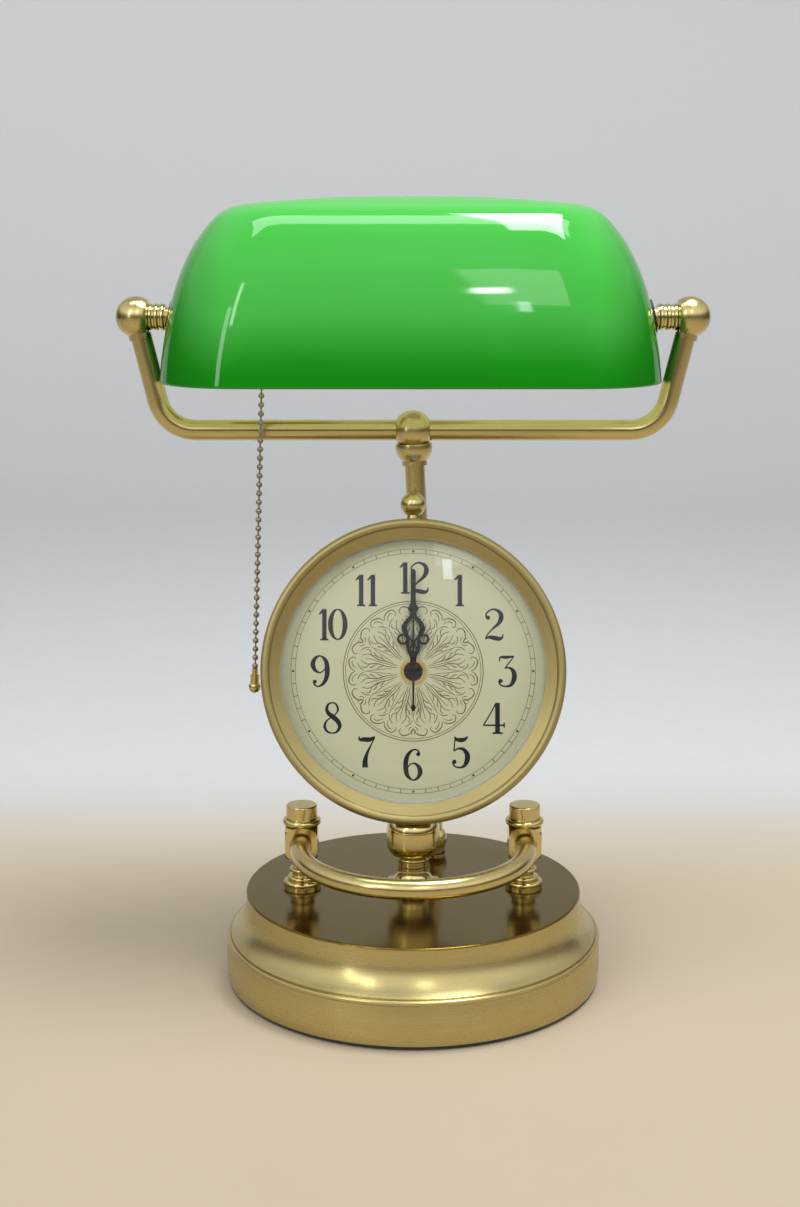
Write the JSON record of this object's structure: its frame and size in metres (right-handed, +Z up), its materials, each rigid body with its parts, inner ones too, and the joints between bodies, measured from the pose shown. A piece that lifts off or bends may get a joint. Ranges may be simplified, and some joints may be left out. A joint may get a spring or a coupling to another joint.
{
  "type": "banker desk lamp",
  "caption": "Desk lamp with a long green glass shade on a tilting brass yoke, a round analogue clock on a turned column and a curved pen rail on a weighted round base.",
  "frame": {"origin": "centre of the felt pad's underside, on the table", "axes": "+Z up, -Y towards the front, where the clock faces, +X to the right seen from the front"},
  "size_m": [0.308, 0.217, 0.3984],
  "materials": {
    "brass_satin": "satin, lacquered",
    "brass_polished": "polished, lacquered",
    "brass_brushed": "brushed",
    "steel_zinc": "zinc plated",
    "cast_weight": "rough",
    "steel_plate": "matt",
    "felt": "felt",
    "rubber_black": "matt",
    "terminal_plastic": "matt",
    "clock_glass": "clear",
    "dial_card": "satin, printed",
    "movement_plastic": "matt",
    "battery_wrap": "gloss",
    "hand_black": "gloss",
    "shade_glass": "gloss, cased",
    "holder_lining": "matt",
    "bulb_glass": "frosted",
    "bulb_cap": "satin",
    "wire_sheath": "satin"
  },
  "bodies": {
    "base": {"base_shell": "brass_satin", "base_weight": "cast_weight", "base_plate": "steel_plate", "base_plate_screws": "steel_zinc", "felt_pad": "felt", "cord_grommet": "rubber_black", "terminal_block": "terminal_plastic", "base_nuts": "steel_zinc", "rail_post_left": "brass_polished", "rail_post_right": "brass_polished", "rail_cap_left": "brass_polished", "rail_cap_right": "brass_polished", "pen_rail": "brass_polished", "rail_screws": "steel_zinc", "clock_column": "brass_polished", "column_stud": "steel_zinc", "clock_saddle": "brass_polished", "clock_case": "brass_satin", "clock_bezel": "brass_brushed", "clock_glass": "clock_glass", "dial_spacer": "brass_satin", "dial_plate": "dial_card", "movement": "movement_plastic", "movement_nut": "brass_polished", "battery": "battery_wrap", "clock_back": "brass_satin", "back_screws": "steel_zinc", "clock_finial": "brass_polished", "finial_nut": "steel_zinc", "pole_tube": "brass_polished", "pole_foot_ball": "brass_polished", "pole_wire": "wire_sheath"},
    "swivel": {"swivel_cup": "brass_polished", "cup_set_screw": "steel_zinc"},
    "yoke": {"yoke_ball": "brass_polished", "yoke_tube": "brass_polished", "end_ball_left": "brass_polished", "end_ball_right": "brass_polished", "stud_left": "brass_satin", "stud_right": "brass_satin", "outer_nuts": "brass_polished", "inner_nuts": "brass_satin", "holder_cap": "brass_satin", "holder_shell": "brass_satin", "holder_liner": "holder_lining", "pull_switch": "brass_satin", "bulb_cap": "bulb_cap", "bulb_glass": "bulb_glass", "yoke_wire": "wire_sheath"},
    "shade": {"glass_shade": "shade_glass", "shade_washers": "rubber_black"},
    "pull": {"chain_connector": "brass_polished"},
    "chain": {"pull_chain": "brass_polished", "chain_pull_end": "brass_polished"},
    "hour": {"hour_hand": "hand_black"},
    "minute": {"minute_hand": "hand_black"},
    "second": {"second_hand": "hand_black"},
    "knob": {"time_set_knob": "movement_plastic"}
  },
  "joints": [
    {"name": "yoke_swivel", "type": "hinge", "parent": "base", "child": "swivel", "pos_m": [0, 0.054, 0.2784], "axis": [-0.0518, 0, 0.9987], "range_deg": [-8, 8]},
    {"name": "yoke_tilt", "type": "hinge", "parent": "swivel", "child": "yoke", "pos_m": [0, 0.054, 0.2784], "axis": [1, 0, 0], "range_deg": [-10, 12]},
    {"name": "shade_tilt", "type": "hinge", "parent": "yoke", "child": "shade", "pos_m": [0, 0.054, 0.337], "axis": [1, 0, 0], "range_deg": [-25, 25]},
    {"name": "chain_pull", "type": "slide", "parent": "yoke", "child": "pull", "axis": [-0.0384, 0, -0.9993], "range_m": [0, 0.008], "stiffness_N_per_m": 300, "springref_m": -0.004},
    {"name": "chain_swing", "type": "hinge", "parent": "pull", "child": "chain", "pos_m": [-0.0772, 0.038, 0.3145], "axis": [1, 0, 0], "range_deg": [-12, 10]},
    {"name": "minute_turn", "type": "hinge", "parent": "base", "child": "minute", "pos_m": [0, 0, 0.1614], "axis": [0, 0.9732, -0.23], "continuous": true},
    {"name": "hour_turn", "type": "hinge", "parent": "base", "child": "hour", "pos_m": [0, 0, 0.1614], "axis": [0, 0.9732, -0.23], "continuous": true},
    {"name": "second_turn", "type": "hinge", "parent": "base", "child": "second", "pos_m": [0, 0, 0.1614], "axis": [0, 0.9732, -0.23], "continuous": true},
    {"name": "set_knob_turn", "type": "hinge", "parent": "base", "child": "knob", "pos_m": [0, 0.00276, 0.17308], "axis": [0, 0.9732, -0.23], "continuous": true}
  ],
  "couplings": [
    {"joint": "chain_swing", "follows": "yoke_tilt", "ratio": -1},
    {"joint": "hour_turn", "follows": "minute_turn", "ratio": 0.083333},
    {"joint": "set_knob_turn", "follows": "minute_turn", "ratio": -1}
  ]
}
